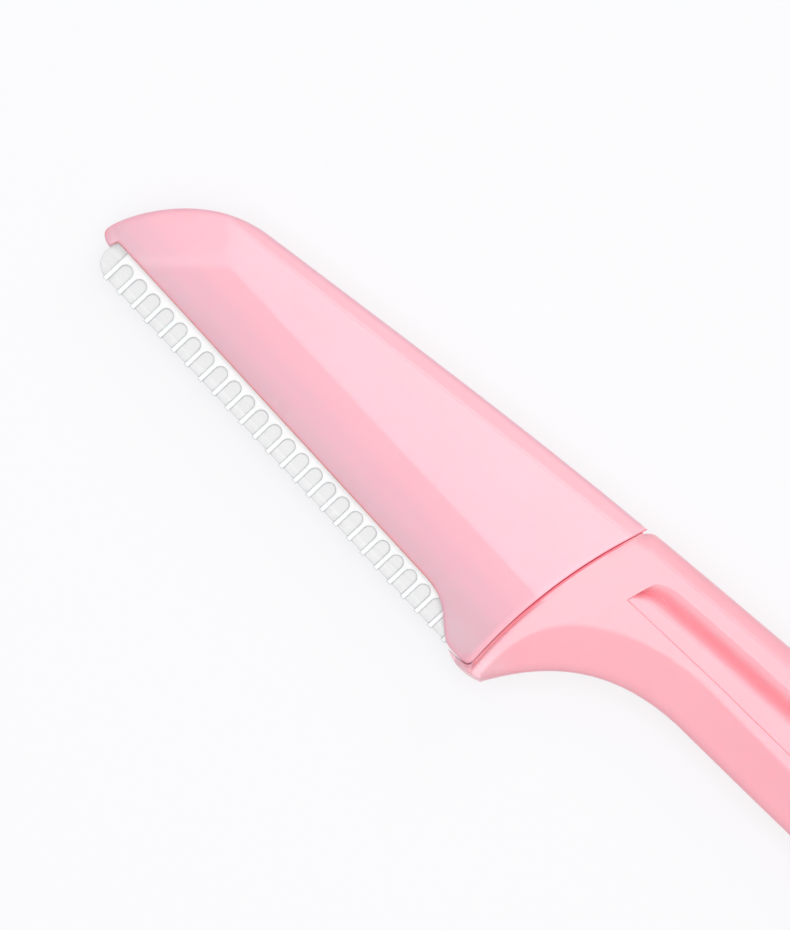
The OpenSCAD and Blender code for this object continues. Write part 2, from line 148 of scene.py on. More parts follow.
# Head facets
LOBE_HALF = 0.9
FACET_HEIGHT = 7.9
SPINE_BEVEL = 1.2
BEVEL_TILT = math.radians(3.8)
BEVEL_ANGLE = math.radians(45)
CREASE_SETBACK = 7.4
CREASE_ANGLE = math.radians(57)
NOSE_FALL = math.radians(10)
FACET_SOFTNESS = 0.09
NOSE_SOFTNESS = 0.12
BEVEL_SOFTNESS = 0.2
COVER_ROUND = 0.18
COVER_SEAM_ROUND = 0.05
PARTING_GROOVE = 0.05

# Seam
SEAM_RADIUS = 41.7
SEAM_SETBACK = 2.6
SEAM_HEIGHT = 1
SEAM_GAP = 0.28
SEAM_SPLIT = -0.25
RIB_TOP = 16.65
RIB_ROUND = 0.3
RIB_LEDGE = 0.16
# How the painted shade and red glow in the seam's gap rise and fade
SEAM_GLOW_RISE = 2.8
SEAM_GLOW_LOW = 9
SEAM_GLOW_STEP = 4
SEAM_GLOW_TOP = 2.5

# Handle outline
AXIS_HEIGHT = 12.25
BELLY_WIDTH = 12.3
BELLY_RUN = 67.4
SHOULDER_HEIGHT = 17.2
SHOULDER_ROUND = 0.95
SHOULDER_RUN = 2
NECK_HEIGHT = 7.27
NECK_RUN = 15.4
NECK_PULL = 7.5
NECK_FALL = math.radians(1.2)
SCOOP_ANGLE = math.radians(58)
SCOOP_PULL = 5
HEEL_RUN = 1.47
HEEL_DROP = 0.49
TAIL_HALF = 0.45
TAIL_POWER = 3
LIP_REACH = 2
LIP_FRONT_PULL = 1
LIP_HEEL_PULL = 0.21
LIP_TOP_DROP = 0.27
LOBE_CLEARANCE = 0.04
LOBE_OUTWARD = (0.6, -0.8)
LIP_LOW_DROP = 0.78
LIP_THICKNESS = 1.2
LIP_RAMP = 1.5

# Handle section
LOW_BEVEL = 3.6
SCOOP_BEVEL = 3.9
BEVEL_START = 3.8
BEVEL_GROWTH = 5.6
BEVEL_CHANGE = 2 / 3
TOP_BEVEL = 1.2
LOW_HALF = 1.2
HEEL_HALF = 1.8
TOP_HALF = 1.6
LOW_SOFTNESS = 0.12
TOP_SOFTNESS = 0.2
HANDLE_ROUND = 0.3
SEAM_ROUND = 0.2
FRONT_ROUND = 0.03

# Grip recess
RECESS_SETBACK = 4
RECESS_LENGTH = 86
BORDER_BAND = 0.8
RIM_BAND = 1.1
RIM_HEIGHT = 15.2
RIM_LEVEL_TO = 24
RIM_RISE = 0.035
RIM_SOFTNESS = 0.15
RIM_CORNER_RUN = 2
RIM_CORNER_DROP = 0.7
RIM_WIDTH = 0.5
RIM_DEPTH = 0.1
BORDER_DEPTH = 0.22
VALLEY_DEPTH = 1
VALLEY_RIM_HALF = 0.8
VALLEY_FLOOR_HALF = 0.96
VALLEY_PLACE = 1.19
VALLEY_BED = 0.07
VALLEY_POWER = 1.5
STEP_WIDTH = 0.12
RECESS_RUNOUT = 1.2
RECESS_FRONT = (11.6, 15.6)

# Tongue
TONGUE_LENGTH = 17.6
TONGUE_WIDTH = 5
TONGUE_THICKNESS = 2
TONGUE_HEIGHT = 11.4
TONGUE_FIT = 0.06
TONGUE_ROOM = 0.5

# Guard comb
BAR_COUNT = 26
BAR_PITCH = 1.55
BAR_WIDTH = 0.43
COMB_SETBACK = 1.33
COMB_THICKNESS = 1
BAR_TIP_THICKNESS = 0.56
BAR_TIP = 0.14
WINDOW_HEIGHT = 2
COMB_HEIGHT = 4.3
COMB_HEEL = 1
COMB_ROUND = 0.09
COMB_GROOVE = 0.02

# Blade
BLADE_THICKNESS = 0.25
BLADE_FIT = 0.02
GRIND_WIDTH = 0.7
GRIND_CREASE = 0.02
KEEN_THICKNESS = 0.02
BLADE_WIDTH = 6.5
BLADE_HEEL = 1
BLADE_STEP = 6
TIP_WIDTH = 3.4
TIP_RADIUS = 1.5
CREASE_END = 0.1
BLADE_GROOVE = 0.004

# Plastic and steel
CLOUD_SIZE = 5
CLOUD_SPREAD = 0.01
FLOW_SIZE = 1.6
FLOW_STRETCH = (0.15, 1, 1)
FLOW_SPREAD = 0.06
GRAIN_SIZE = 0.09
RIPPLE_SIZE = 1.3
RIPPLE_SHARE = 1.6
NOISE_MIDDLE = (0.3, 0.7)
PLASTIC_IOR = 1.49
COAT_IOR = 1.5
COAT_ROUGHNESS = 0.16
SCATTER_RADIUS = (1, 0.35, 0.3)
SCATTER_DEPTH = 0.8
SATIN_SKIN = {"roughness": 0.3, "grain": 0.0016, "coat": 0.5, "scatter": 0.4}
COMB_SKIN = {"roughness": 0.34, "grain": 0.0012, "coat": 0.2, "scatter": 0.1}
HANDLE_CLOUD_SIZE = 14
COMB_CLOUD_SIZE = 2.5
BRUSH_SIZE = 0.12
BRUSH_STRETCH = (0.02, 1, 1)
GROUND_SIZE = 0.1
GROUND_STRETCH = (1, 0.05, 1)
STEEL_ROUGHNESS = (0.4, 0.5)
STEEL_RELIEF = 0.0006

# Sockets of a Mix node that hold colours
COLOUR_A = 6
COLOUR_B = 7
COLOUR_RESULT = 2

# Colours, as numbers in a picture, with the bands that they fill
# Painted shade: the head darker and greyer towards the rim, lighter and rosier towards the spine
HEAD_SHADE_COLOURS = ((0.06, (221, 184, 194)), (0.16, (223, 178, 190)), (0.28, (235, 178, 193)),
                (0.42, (248, 181, 195)), (0.9, (252, 188, 199)))
# Painted shade: greyish mauve within a band of the head's outline
HEAD_EDGE_SHADE_BAND = 0.5
HEAD_EDGE_SHADE_COLOUR = (226, 168, 184)
# Painted shadow and painted red glow: a thin orange-red line along the rim, beside the comb
RIM_GLOW_BAND = 0.15
RIM_GLOW_REACH = 0.45
RIM_GLOW_COLOUR = (222, 122, 98)
# Painted highlight: a pale band on the head's rounded edge beside the seam
SEAM_HIGHLIGHT_BAND = 0.7
SEAM_HIGHLIGHT_COLOUR = (255, 193, 206)
# Painted shade and painted red glow of light caught in the seam's gap, on the head's side
SEAM_PAINTED_GLOW_BAND = 0.18
SEAM_PAINTED_GLOW_REACH = 0.3
# Painted shade and painted red glow in the recess's valley
HOLLOW_PAINTED_GLOW_COLOUR = (255, 168, 178)
# Painted shade and painted red glow of light caught in the seam's gap
SEAM_PAINTED_GLOW_COLOUR = (252, 80, 106)
# Painted shade: the lip greyer in front of the seam
LIP_SHADE_BAND = 0.25
LIP_SHADE_RUN = 1
LIP_SHADE_COLOUR = (224, 181, 192)
HANDLE_COLOURS = ((0.3, (252, 175, 187)), (0.7, (254, 178, 189)))
# Painted shade: greyer within a band of the handle's outline
HANDLE_EDGE_SHADE_BAND = 0.9
HANDLE_EDGE_SHADE_COLOUR = (234, 166, 178)
# Painted highlight: a pale, greyish spot round the heel
HEEL_HIGHLIGHT_BAND = 4.8
HEEL_HIGHLIGHT_RUN = 1
HEEL_HIGHLIGHT_COLOUR = (240, 214, 222)
COMB_COLOURS = ((0.3, (241, 244, 243)), (0.7, (243, 246, 245)))
# Painted shade: a thin grey line along the comb's outline and windows
COMB_EDGE_SHADE_BAND = 0.1
COMB_EDGE_SHADE_COLOUR = (212, 215, 215)
STEEL_COLOURS = ((0.3, (164, 164, 164)), (0.7, (172, 172, 172)))
GROUND_COLOURS = ((0.3, (177, 177, 177)), (0.7, (183, 183, 183)))
# Painted shade: a thin darker line along the blade's outline
KEEN_SHADE_BAND = 0.1
KEEN_SHADE_COLOUR = (158, 160, 161)

# Stage
LENS = 200
PIXEL = 0.078
VIEW_CENTRE = (-12.18, 7.65)
VIEW_LEVEL = 1.4
VIEW_TURN = math.radians(42)
BACKDROP = (250, 250, 252)
AMBIENT = 0.605
FLOOR_REACH = 1500
FLOOR_GAP = 0.05
FLOOR_WHITE = 0.93
FLOOR_GLOW = 0.8
PHOTO_HEIGHT = 930
CLIP = (0.01, 10)
OVERHEAD = {"place": (-40, 0, 450), "target": (-40, 0, 0), "size": 380, "radiance": 2.34}
SPINE_KEY = {"place": (-60, 420, 260), "target": (-40, 10, 0), "size": 220, "radiance": 2.15}

# Sizes that follow
HALF = (cad_high.z - cad_low.z) / 2 / MM
NOSE_X = -(EDGE_LENGTH * math.cos(EDGE_TILT) + NOSE_OVERHANG)
PLAN_ZERO = Vector((cad_low.x - NOSE_X * MM, cad_low.y + LIP_LOW_DROP * MM, cad_low.z + HALF * MM))
TAIL_X = (cad_high.x - PLAN_ZERO.x) / MM
RIB_FOOT = FOOT_CORNER + SEAM_GAP
TONGUE_LOW = TONGUE_HEIGHT - TONGUE_WIDTH / 2
TONGUE_HIGH = TONGUE_HEIGHT + TONGUE_WIDTH / 2
SEAM_CENTRE = np.array([SEAM_SETBACK + SEAM_RADIUS, SEAM_HEIGHT])
HANDLE_ARC = SEAM_RADIUS - SEAM_GAP
RECESS_ARC = SEAM_RADIUS - RECESS_SETBACK
RECESS_END = SEAM_SETBACK + RECESS_SETBACK + RECESS_LENGTH
CHANNEL_TO = RECESS_END - RECESS_RUNOUT - CHANNEL_END_GAP
BELLY_X = SEAM_SETBACK + BELLY_RUN
HEEL_X = SEAM_SETBACK + HEEL_RUN
NECK_X = SEAM_SETBACK + NECK_RUN
BELLY_LOW = AXIS_HEIGHT - BELLY_WIDTH / 2
BELLY_TOP = AXIS_HEIGHT + BELLY_WIDTH / 2


# Curves in plan

def heading(angle):
    return np.array([math.cos(angle), math.sin(angle)])


def strip(along, above):
    """A point from its place along the cutting edge and its height over it."""
    return np.array([along, above]) @ np.array([heading(-EDGE_TILT), heading(math.pi / 2 - EDGE_TILT)])


def above_edge(points):
    """Height of each point over the cutting edge."""
    return points @ heading(math.pi / 2 - EDGE_TILT)


def bezier(a, b, c, d, steps=CURVE_STEPS):
    t = np.linspace(0, 1, steps + 1)[:, None]
    return (np.outer((1 - t) ** 3, a) + np.outer(3 * (1 - t) ** 2 * t, b)
            + np.outer(3 * (1 - t) * t ** 2, c) + np.outer(t ** 3, d))


def mix(a, b, share):
    return a + (b - a) * share


def ease(t):
    t = np.clip(t, 0, 1)
    return t * (2 - t)


def smooth(t):
    t = np.clip(t, 0, 1)
    return t * t * (3 - 2 * t)


def arc_x(radius, y):
    """Place of an arc that is concentric with the seam, at one height."""
    return SEAM_CENTRE[0] - np.sqrt(radius ** 2 - (y - SEAM_HEIGHT) ** 2)


def seam_arc(radius, low, high, steps=ARC_STEPS):
    y = np.linspace(low, high, steps)
    return np.stack([arc_x(radius, y), y], 1)


def behind(points, radius):
    """How far each point lies behind an arc that is concentric with the seam."""
    run = points - SEAM_CENTRE
    return radius - np.hypot(np.minimum(run[:, 0], 0), run[:, 1])


def resample(points, step, closed=True):
    """The line again, with its corners and with points at most a step apart."""
    starts = points if closed else points[:-1]
    ends = np.roll(points, -1, axis=0)[:len(starts)]
    counts = np.ceil(np.linalg.norm(ends - starts, axis=1) / step).astype(int)
    parts = [mix(a, b, np.arange(n)[:, None] / n) for a, b, n in zip(starts, ends, counts)]
    return np.concatenate(parts if closed else parts + [points[-1:]])


def inward_of(outline):
    """Unit vectors that point into a closed outline, at each of its points."""
    run = np.roll(outline, -1, axis=0) - np.roll(outline, 1, axis=0)
    return np.stack([-run[:, 1], run[:, 0]], 1) / np.linalg.norm(run, axis=1)[:, None]


def inside(points, outline):
    """Which points lie inside the closed outline."""
    order = np.argsort(points[:, 1])
    y = points[order, 1]
    odd = np.zeros(len(points), bool)
    for a, b in zip(outline, np.roll(outline, -1, axis=0)):
        low, high = (a, b) if a[1] < b[1] else (b, a)
        span = order[np.searchsorted(y, low[1]):np.searchsorted(y, high[1])]
        if len(span):
            share = (points[span, 1] - low[1]) / (high[1] - low[1])
            odd[span] ^= points[span, 0] < mix(low[0], high[0], share)
    return odd


class Line:
    """A finely divided line that gives its distance to many points."""

    def __init__(self, points, closed=False):
        self.points = points
        self.closed = closed
        self.tree = KDTree(len(points))
        for i, (x, y) in enumerate(points):
            self.tree.insert((x, y, 0), i)
        self.tree.balance()

    def near(self, points):
        """Distance of each point, and the nearest place on the line."""
        nearest = np.array([self.tree.find((x, y, 0))[1] for x, y in points])
        count = len(self.points)
        best = np.full(len(points), np.inf)
        foot = np.zeros((len(points), 2))
        for side in (-1, 1):
            other = (nearest + side) % count if self.closed else np.clip(nearest + side, 0, count - 1)
            start = self.points[nearest]
            run = self.points[other] - start
            length = np.maximum((run ** 2).sum(1), TINY)
            reached = start + run * np.clip(((points - start) * run).sum(1) / length, 0, 1)[:, None]
            distance = np.linalg.norm(points - reached, axis=1)
            closer = distance < best
            best[closer] = distance[closer]
            foot[closer] = reached[closer]
        return best, foot

    def distance(self, points):
        return self.near(points)[0]


# Height fields

def lower(a, b, softness):
    """The lower of two heights, with the crease between them rounded."""
    overlap = np.maximum(softness - np.abs(a - b), 0)
    return np.minimum(a, b) - overlap ** 2 / (4 * softness)


def edge_drop(distance, radius):
    """How far a rounded edge lies below its sharp one, at a distance from the wall."""
    rest = np.clip(radius - distance, 0, radius)
    return radius - np.sqrt(radius ** 2 - rest ** 2)


def inset_rows(outline, radius, steps=INSET_STEPS):
    """Rows of points inside the outline, as close as its rounded edge asks for."""
    inward = inward_of(outline)
    line = Line(outline, closed=True)
    rows = []
    for i in range(1, steps + 1):
        depth = radius * (1 - math.cos(i / steps * math.pi / 2))
        row = outline + inward * depth
        rows.append(row[line.distance(row) > INSET_SHARE * depth])
    return np.concatenate(rows)


def grid_cells(outline, step):
    """Places of a square grid inside the outline, counted in its steps."""
    low = np.floor(outline.min(0) / step).astype(int)
    high = np.ceil(outline.max(0) / step).astype(int)
    spans = [np.arange(a, b + 1) for a, b in zip(low, high)]
    cells = np.stack(np.meshgrid(*spans, indexing="ij"), -1).reshape(-1, 2)
    return cells[inside(cells * step, outline)]


def even_points(outline, step):
    """Points of an even grid inside the outline."""
    return (grid_cells(outline, step) * step).round(DECIMALS)


def adaptive_points(outline, height, coarse, fine, tolerance):
    """Points of a grid that gets finer where the height bends.

    Its steps are halved from the coarse one down to the fine one.
    """
    around = np.array([(i, j) for i in (-1, 0, 1) for j in (-1, 0, 1)])
    cells = grid_cells(outline, coarse)
    found = cells * coarse
    step = coarse
    for _ in range(round(math.log2(coarse / fine))):
        points = cells * step
        bend = np.zeros(len(points))
        middle = height(points)
        for side in ((step, 0), (0, step), (step, step), (step, -step)):
            bend = np.maximum(bend, np.abs(height(points + side) + height(points - side) - 2 * middle))
        step /= 2
        cells = np.unique((cells[bend > tolerance][:, None] * 2 + around).reshape(-1, 2), axis=0)
        cells = cells[inside(cells * step, outline)]
        found = np.concatenate([found, cells * step])
    return np.unique(found.round(DECIMALS), axis=0)


def triangulated(outline, rows, grid, clearance, creases=()):
    """Plan points and triangles that fill an outline, and the places of the outline's points."""
    grid = grid[Line(outline, closed=True).distance(grid) > clearance]
    if creases:
        grid = grid[Line(np.concatenate(creases)).distance(grid) > CREASE_CLEARANCE]
    points = np.concatenate([outline, rows, grid, *creases])
    count = len(outline)
    edges = [(i, (i + 1) % count) for i in range(count)]
    start = len(points) - sum(len(crease) for crease in creases)
    for crease in creases:
        edges += [(i, i + 1) for i in range(start, start + len(crease) - 1)]
        start += len(crease)
    # Output type 0 fills the hull with triangles, and True keeps the old places of the points.
    made = delaunay_2d_cdt([Vector(p) for p in points], edges, [], 0, MERGE_REACH, True)
    points = np.array([tuple(p) for p in made[0]])
    kept = {old: new for new, olds in enumerate(made[3]) for old in olds}
    rim = [kept[i] for i in range(count)]
    triangles = np.array(made[2])
    sides = points[triangles[:, 1:]] - points[triangles[:, :1]]
    sliver = np.abs(np.linalg.det(sides)) < SLIVER_AREA
    outside = ~inside(points[triangles].mean(1), outline)
    return points, triangles[~(outside | (sliver & np.isin(triangles, rim).all(1)))], rim


def new_object(name, data):
    """A new object in the scene."""
    made = bpy.data.objects.new(name, data)
    bpy.context.scene.collection.objects.link(made)
    return made


def smooth_faces(mesh):
    """Smooth faces whose edges past an angle stay sharp."""
    mesh.shade_smooth()
    mesh.set_sharp_from_angle(angle=SMOOTH_ANGLE)


def new_piece(name, points, faces, marks):
    """A piece whose marks are numbers that its points keep for the materials, by name."""
    mesh = bpy.data.meshes.new(name)
    mesh.from_pydata((points * MM + np.array(PLAN_ZERO)).tolist(), [], faces)
    for mark, values in marks.items():
        mesh.attributes.new(mark, "FLOAT", "POINT").data.foreach_set("value", values)
    made = bmesh.new()
    made.from_mesh(mesh)
    bmesh.ops.delete(made, geom=[v for v in made.verts if not v.link_faces], context="VERTS")
    bmesh.ops.recalc_face_normals(made, faces=made.faces)
    made.to_mesh(mesh)
    made.free()
    smooth_faces(mesh)
    return new_object(name, mesh)


def solid(name, plan, height, groove, side=0, painted_glow_amount=None):
    """A solid that is alike above and below the middle plane, or one half of it (side 1 or -1).

    A fine groove runs round its wall in the middle plane, where its mould parts. The points of
    its faces keep how near they lie to the outline and how much painted glow the hollows get
    there, both from 0 to 2, and the points of its walls keep nothing.
    """
    points, triangles, rim = plan
    count = len(points)
    outline = points[rim]
    edge = len(rim)
    top = np.column_stack([points, height(points)])
    near_edge = np.maximum(EDGE_REACH - Line(outline, closed=True).distance(points), 0)
    painted_glow_share = painted_glow_amount(points) if painted_glow_amount else np.zeros(count)
    nothing = np.zeros(edge)
    lip = np.column_stack([outline, np.full(edge, groove)])
    bed = np.column_stack([outline + inward_of(outline) * groove, nothing])
    blocks = [top, lip, bed]
    rings = [np.array(rim), count + np.arange(edge), count + edge + np.arange(edge)]
    faces = [triangles]
    if not side:
        blocks += [lip * [1, 1, -1], top * [1, 1, -1]]
        rings += [count + 2 * edge + np.arange(edge), count + 3 * edge + rings[0]]
        faces.append(triangles[:, ::-1] + count + 3 * edge)
    for upper, under in zip(rings, rings[1:]):
        faces.append(np.column_stack([upper, np.roll(upper, -1), np.roll(under, -1), under]))
    if side:
        faces.append(rings[-1][None])

    def with_walls(values):
        if side:
            return np.concatenate([values, nothing, nothing])
        return np.concatenate([values, nothing, nothing, nothing, values])

    return new_piece(name, np.concatenate(blocks) * [1, 1, side or 1],
                     [face for block in faces for face in block.tolist()],
                     {"near_edge": with_walls(near_edge), "painted_glow_amount": with_walls(painted_glow_share)})


def flat(height):
    """The same height at every point."""
    return lambda points: np.full(len(points), height)


def cut_out(piece, cutter):
    """Cuts the room of another solid out of a piece, and leaves one clean mesh."""
    modifier = piece.modifiers.new("cut", "BOOLEAN")
    modifier.operation = "DIFFERENCE"
    modifier.object = cutter
    modifier.solver = "EXACT"
    bpy.context.view_layer.update()
    result = bpy.data.meshes.new_from_object(piece.evaluated_get(bpy.context.evaluated_depsgraph_get()))
    piece.modifiers.clear()
    old = piece.data
    piece.data = result
    bpy.data.meshes.remove(old)
    smooth_faces(result)


# Covers

spine_end = np.array([arc_x(SEAM_RADIUS, SPINE_HEIGHT), SPINE_HEIGHT])
nose_start = np.array([NOSE_X + NOSE_SWEEP, NOSE_START_HEIGHT])
nose_tip = np.array([NOSE_X, strip(-EDGE_LENGTH, RIM_TIP)[1] + NOSE_RISE])
hook_tip = np.array([NOSE_X + HOOK_WIDTH, nose_tip[1] - NOSE_RISE - HOOK_DROP])
foot_start = strip(LOBE_FOOT, -LOBE_DROP)
foot_end = strip(FOOT_RUN, -LOBE_DROP)
foot_top = np.array([arc_x(SEAM_RADIUS, FOOT_CORNER), FOOT_CORNER])
foot_corner = np.array([foot_top[0], foot_end[1]])


def foot_curve():
    """The rounded corner between the lobe's foot and the seam, from the foot up."""
    return bezier(foot_end, mix(foot_end, foot_corner, FOOT_CORNER_PULL),
                  mix(foot_top, foot_corner, FOOT_CORNER_PULL), foot_top, CORNER_STEPS)


def cover_outline():
    """The head's outline, running round with its inside on the left."""
    parts = [
        bezier(spine_end, spine_end - SPINE_PULL * heading(SPINE_FALL),
               nose_start + SPINE_PULL * heading(NOSE_START_FALL), nose_start),
        bezier(nose_start, nose_start - NOSE_TOP_PULL * heading(NOSE_START_FALL),
               nose_tip + [0, NOSE_FRONT_PULL], nose_tip)[1:],
        bezier(nose_tip, nose_tip - [0, HOOK_PULL], hook_tip - [HOOK_PULL, 0], hook_tip,
               HOOK_STEPS)[1:],
        [strip(RIM_SETBACK - EDGE_LENGTH, RIM_TIP)],
        bezier(strip(-LOBE_RUN, RIM_HEEL), strip(LOBE_RIM_PULL - LOBE_RUN, RIM_HEEL),
               strip(LOBE_FOOT - LOBE_FOOT_PULL, -LOBE_DROP), foot_start),
        foot_curve(),
        seam_arc(SEAM_RADIUS, FOOT_CORNER, SPINE_HEIGHT)[1:-1]]
    return resample(np.concatenate(parts), COVER_LINE_STEP)


def beyond(points, on_line, angle):
    """Distance of each point to the left of a line through a point, at an angle."""
    return (points - on_line) @ heading(angle + math.pi / 2)


def cover_surface(points):
    """Height of the cover's facets over the middle plane."""
    above = above_edge(points) + LOBE_DROP
    slope = LOBE_HALF + above * (HALF - LOBE_HALF) / (FACET_HEIGHT + LOBE_DROP)
    bevel_start = np.array([spine_end[0], SPINE_HEIGHT - SPINE_BEVEL / math.cos(BEVEL_TILT)])
    bevel = HALF - beyond(points, bevel_start, BEVEL_TILT) * math.tan(BEVEL_ANGLE)
    crease = strip(CREASE_SETBACK - EDGE_LENGTH, FACET_HEIGHT)
    nose = HALF - beyond(points, crease, math.pi - CREASE_ANGLE) * math.tan(NOSE_FALL)
    height = lower(np.full(len(points), HALF), slope, FACET_SOFTNESS)
    height = lower(height, nose, NOSE_SOFTNESS)
    return lower(height, bevel, BEVEL_SOFTNESS)


def make_covers():
    outline = cover_outline()
    free = Line(outline[behind(outline, SEAM_RADIUS) < -SEAM_STEP])
    grid = adaptive_points(outline, cover_surface, **COVER_GRID)
    plan = triangulated(outline, inset_rows(outline, COVER_ROUND), grid,
                        COVER_ROUND + COVER_CLEARANCE)

    def height(points):
        at_seam = edge_drop(-behind(points, SEAM_RADIUS), COVER_SEAM_ROUND)
        return cover_surface(points) - np.maximum(at_seam, edge_drop(free.distance(points), COVER_ROUND))

    covers = [solid("cover_front", plan, height, PARTING_GROOVE, 1),
              solid("cover_back", plan, height, PARTING_GROOVE, -1)]
    socket = socket_solid()
    for cover in covers:
        cut_out(cover, socket)
    bpy.data.objects.remove(socket)
    return covers


# Handle

def toward_tail(start, steps):
    """Places along the handle from behind a start to the tail, ever closer together."""
    return mix(start, TAIL_X, np.sin(np.linspace(0, math.pi / 2, steps)))[1:]


def tail_half_width(x):
    share = np.clip((x - BELLY_X) / (TAIL_X - BELLY_X), 0, 1)
    return np.maximum(TAIL_HALF, BELLY_WIDTH / 2 * np.sqrt(1 - share ** TAIL_POWER))


def low_y(x):
    front = mix(NECK_HEIGHT, BELLY_LOW, ease((x - NECK_X) / (BELLY_X - NECK_X)))
    return np.where(x > BELLY_X, AXIS_HEIGHT - tail_half_width(x), front)


def top_y(x):
    start = arc_x(HANDLE_ARC, SHOULDER_HEIGHT)
    front = mix(SHOULDER_HEIGHT, BELLY_TOP, ease((x - start) / (BELLY_X - start)))
    return np.where(x > BELLY_X, AXIS_HEIGHT + tail_half_width(x), front)


def lower_edge():
    """The handle's lower edge, from the lip's tip round the heel and the scoop to the tail."""
    heel = np.array([HEEL_X, -HEEL_DROP])
    neck = np.array([NECK_X, NECK_HEIGHT])
    # The middle of a curve lies at an eighth of its ends and three eighths of its pulls.
    pull_y = -(LIP_LOW_DROP * 8 - LIP_TOP_DROP - HEEL_DROP) / 6
    lip = bezier([SEAM_SETBACK - LIP_REACH, -LIP_TOP_DROP], [SEAM_SETBACK - LIP_FRONT_PULL, pull_y],
                 [SEAM_SETBACK + LIP_HEEL_PULL, pull_y], heel)
    scoop = bezier(heel, heel + SCOOP_PULL * heading(SCOOP_ANGLE),
                   neck - NECK_PULL * heading(-NECK_FALL), neck, SCOOP_STEPS)
    x = toward_tail(NECK_X, LOW_EDGE_STEPS)
    return np.concatenate([lip, scoop[1:], np.column_stack([x, low_y(x)])])


def upper_edge():
    """The handle's upper edge, from the shoulder's corner to the tail."""
    reach = HANDLE_ARC - SHOULDER_ROUND
    rise = SHOULDER_HEIGHT - SHOULDER_ROUND - SEAM_HEIGHT
    centre = SEAM_CENTRE + [-math.sqrt(reach ** 2 - rise ** 2), rise]
    outward = (centre - SEAM_CENTRE) / reach
    start = math.atan2(outward[1], outward[0])
    angles = np.linspace(start, math.pi / 2, SHOULDER_STEPS)
    corner = centre + SHOULDER_ROUND * np.column_stack([np.cos(angles), np.sin(angles)])
    x = toward_tail(centre[0], TOP_EDGE_STEPS)
    return np.concatenate([corner, np.column_stack([x, top_y(x)])])


def handle_bevels(low_line, top_line):
    """A function that gives the height of the flats and of the bevels along both edges."""
    def height(points):
        distance, foot = low_line.near(points)
        x = foot[:, 0]
        width = mix(SCOOP_BEVEL, LOW_BEVEL, ease((x - NECK_X * BEVEL_CHANGE) / NECK_X))
        width = np.hypot(width * ease((x - BEVEL_START) / BEVEL_GROWTH), LIP_TOP_DROP)
        edge = mix(HEEL_HALF, LOW_HALF, ease((x - HEEL_X) / (NECK_X - HEEL_X)))
        low = edge + distance * (HALF - edge) / width
        top = TOP_HALF + top_line.distance(points) * (HALF - TOP_HALF) / TOP_BEVEL
        return lower(lower(np.full(len(points), HALF), low, LOW_SOFTNESS), top, TOP_SOFTNESS)
    return height


def recess_border(x):
    """Height of the recess's lower border."""
    edge = np.where(x > NECK_X, low_y(x), NECK_HEIGHT + (NECK_X - x) * math.tan(NECK_FALL))
    return edge + LOW_BEVEL + BORDER_BAND


def recess_rim(x):
    """Height of the recess's upper border, far from its rounded front corner."""
    level = RIM_HEIGHT + RIM_RISE * np.maximum(x - RIM_LEVEL_TO, 0)
    return lower(top_y(x) - TOP_BEVEL - RIM_BAND, level, RIM_SOFTNESS)


def from_rim(points):
    """How far each point lies below the recess's upper border, with its rounded front corner."""
    x, y = points.T
    corner = np.clip(1 - (x - arc_x(RECESS_ARC, y)) / RIM_CORNER_RUN, 0, 1)
    return recess_rim(x) - RIM_CORNER_DROP * corner ** 3 - y


def recess_share(points):
    """One inside the recess and nothing outside it, over the steps at its borders."""
    x, y = points.T
    return (smooth((y - recess_border(x)) / STEP_WIDTH) * smooth(behind(points, RECESS_ARC) / STEP_WIDTH)
            * smooth((RECESS_END - x) / RECESS_RUNOUT))


def valley(points):
    """How deep the recess's valley is, from 0 to about 1."""
    across = from_rim(points) - VALLEY_PLACE
    across = np.maximum(across / VALLEY_FLOOR_HALF, -across / VALLEY_RIM_HALF)
    return np.maximum(1 - np.sqrt(across ** 2 + VALLEY_BED ** 2), 0) ** VALLEY_POWER


def painted_glow_amount(points):
    """How much painted red glow the surface gets there, for light that has met plastic before.

    It goes up to one in the recess's valley and up to two in the seam's gap.
    """
    depth = behind(points, HANDLE_ARC)
    gap = (depth < -SEAM_STEP / 2) & (depth > SEAM_SPLIT) & (points[:, 1] > FOOT_CORNER)
    glow = 1 + smooth(points[:, 1] / SEAM_GLOW_LOW) * smooth((RIB_TOP - points[:, 1]) / SEAM_GLOW_TOP)
    low_share = 1 - smooth((points[:, 1] - SEAM_GLOW_STEP) / SEAM_GLOW_STEP)
    glow *= np.maximum(smooth(-SEAM_GLOW_RISE * depth / SEAM_GAP), low_share)
    return np.where(gap, glow, valley(points) * recess_share(points))


def recess_depth(points):
    """Depth of the grip recess: its floor, its rounded rim and the valley below that."""
    below = from_rim(points)
    height = below + points[:, 1] - recess_border(points[:, 0])
    floor = mix(RIM_DEPTH * smooth(below / RIM_WIDTH), BORDER_DEPTH, np.clip(below / height, 0, 1))
    return (floor + VALLEY_DEPTH * valley(points)) * recess_share(points)


def tongue_outline(gap, room, root_x):
    """The tongue, or with a gap and room its socket, from its lower corner at the root."""
    side = TONGUE_WIDTH / 2 + gap
    tip_x = SEAM_SETBACK - TONGUE_LENGTH + TONGUE_WIDTH / 2 - room
    angles = np.linspace(math.pi * 3 / 2, math.pi / 2, TONGUE_STEPS)
    tip = np.column_stack([tip_x + side * np.cos(angles), TONGUE_HEIGHT + side * np.sin(angles)])
    return np.concatenate([[[root_x, TONGUE_HEIGHT - side]], tip, [[root_x, TONGUE_HEIGHT + side]]])


